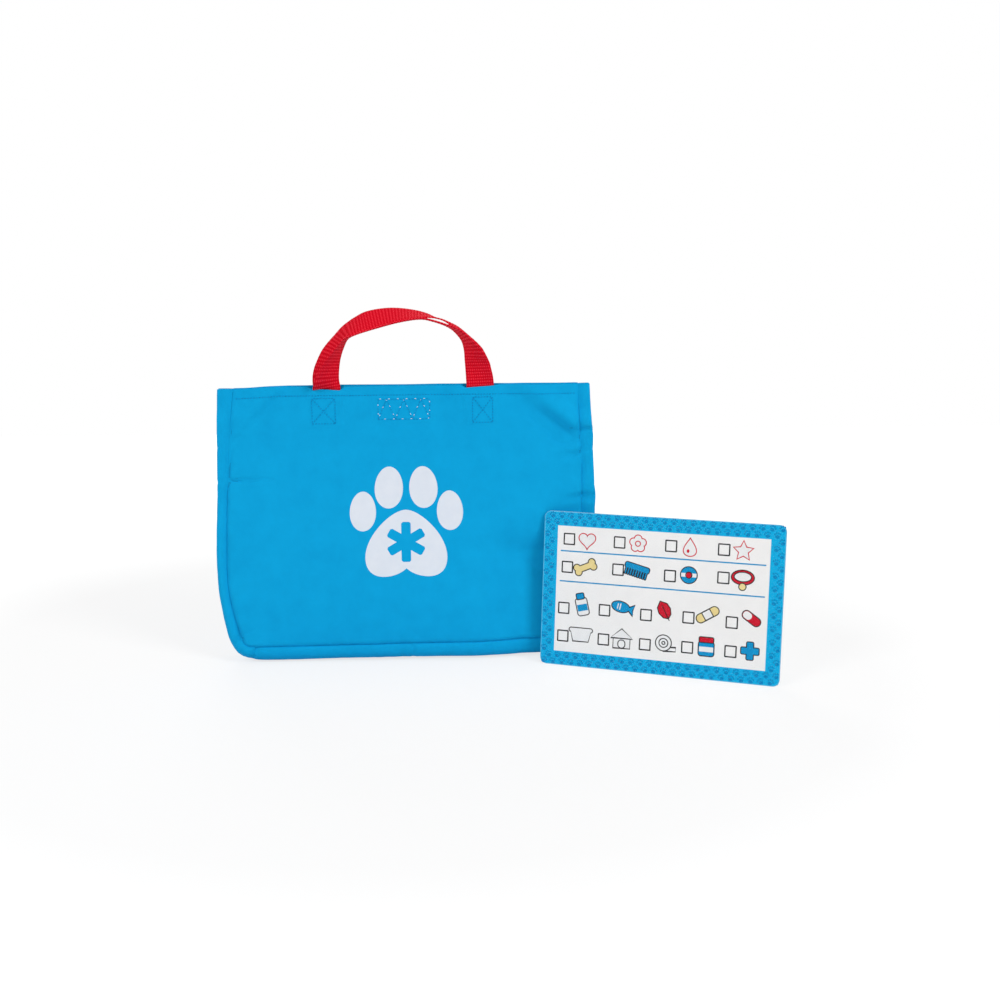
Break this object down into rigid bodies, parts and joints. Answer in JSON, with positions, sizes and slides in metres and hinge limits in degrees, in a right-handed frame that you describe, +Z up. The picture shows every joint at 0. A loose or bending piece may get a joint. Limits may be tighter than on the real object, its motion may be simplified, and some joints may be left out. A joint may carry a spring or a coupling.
{
  "type": "toy vet kit",
  "caption": "Soft sewn tote bag with webbing handles, a hook-and-loop mouth and a printed paw, with a laminated checklist card for pretend vet play",
  "frame": {"origin": "On the floor under the middle of the bag's flat base", "axes": "+X to the right of the front panel, +Y to the back, +Z up"},
  "size_m": [0.4995, 0.1255, 0.3208],
  "materials": {
    "bag_cloth": "coated plain-woven polyester, satin",
    "binding_tape": "narrow woven tape",
    "webbing": "ribbed woven webbing",
    "thread": "polyester sewing thread",
    "closure_tape": "hook-and-loop tape",
    "print_ink": "screen-printed off-white ink",
    "card_core": "grey board",
    "card_paper": "printed paper",
    "card_film": "clear satin film"
  },
  "bodies": {
    "bag": {"base_gusset": "bag_cloth", "left_gusset": "bag_cloth", "right_gusset": "bag_cloth", "front_panel": "bag_cloth", "front_seam_binding": "binding_tape", "front_handle_tails": "webbing", "front_hem_stitching": "thread", "front_handle_stitching": "thread", "front_closure_stitching": "thread", "hook_patch": "closure_tape", "paw_pad_print": "print_ink", "paw_toe_prints": "print_ink"},
    "back_wall": {"back_panel": "bag_cloth", "back_seam_binding": "binding_tape", "back_handle_tails": "webbing", "back_hem_stitching": "thread", "back_handle_stitching": "thread", "back_closure_stitching": "thread", "loop_patch": "closure_tape"},
    "front_handle": {"front_handle_loop": "webbing"},
    "back_handle": {"back_handle_loop": "webbing"},
    "card": {"card_board": "card_core", "card_front_sheet": "card_paper", "card_back_sheet": "card_paper", "card_front_film": "card_film", "card_back_film": "card_film"}
  },
  "joints": [
    {"name": "mouth_open", "type": "hinge", "parent": "bag", "child": "back_wall", "pos_m": [0, 0.018, 0.016], "axis": [-1, 0, 0], "range_deg": [0, 12], "deforming": ["left_gusset", "right_gusset"]},
    {"name": "front_handle_fold", "type": "hinge", "parent": "bag", "child": "front_handle", "pos_m": [0, -0.0034, 0.254], "axis": [1, 0, 0], "range_deg": [0, 150]},
    {"name": "back_handle_fold", "type": "hinge", "parent": "back_wall", "child": "back_handle", "pos_m": [0, 0.0034, 0.254], "axis": [-1, 0, 0], "range_deg": [0, 150]},
    {"name": "card_lift", "type": "slide", "parent": "bag", "child": "card", "axis": [0, 0, 1], "range_m": [0, 0.27]}
  ]
}
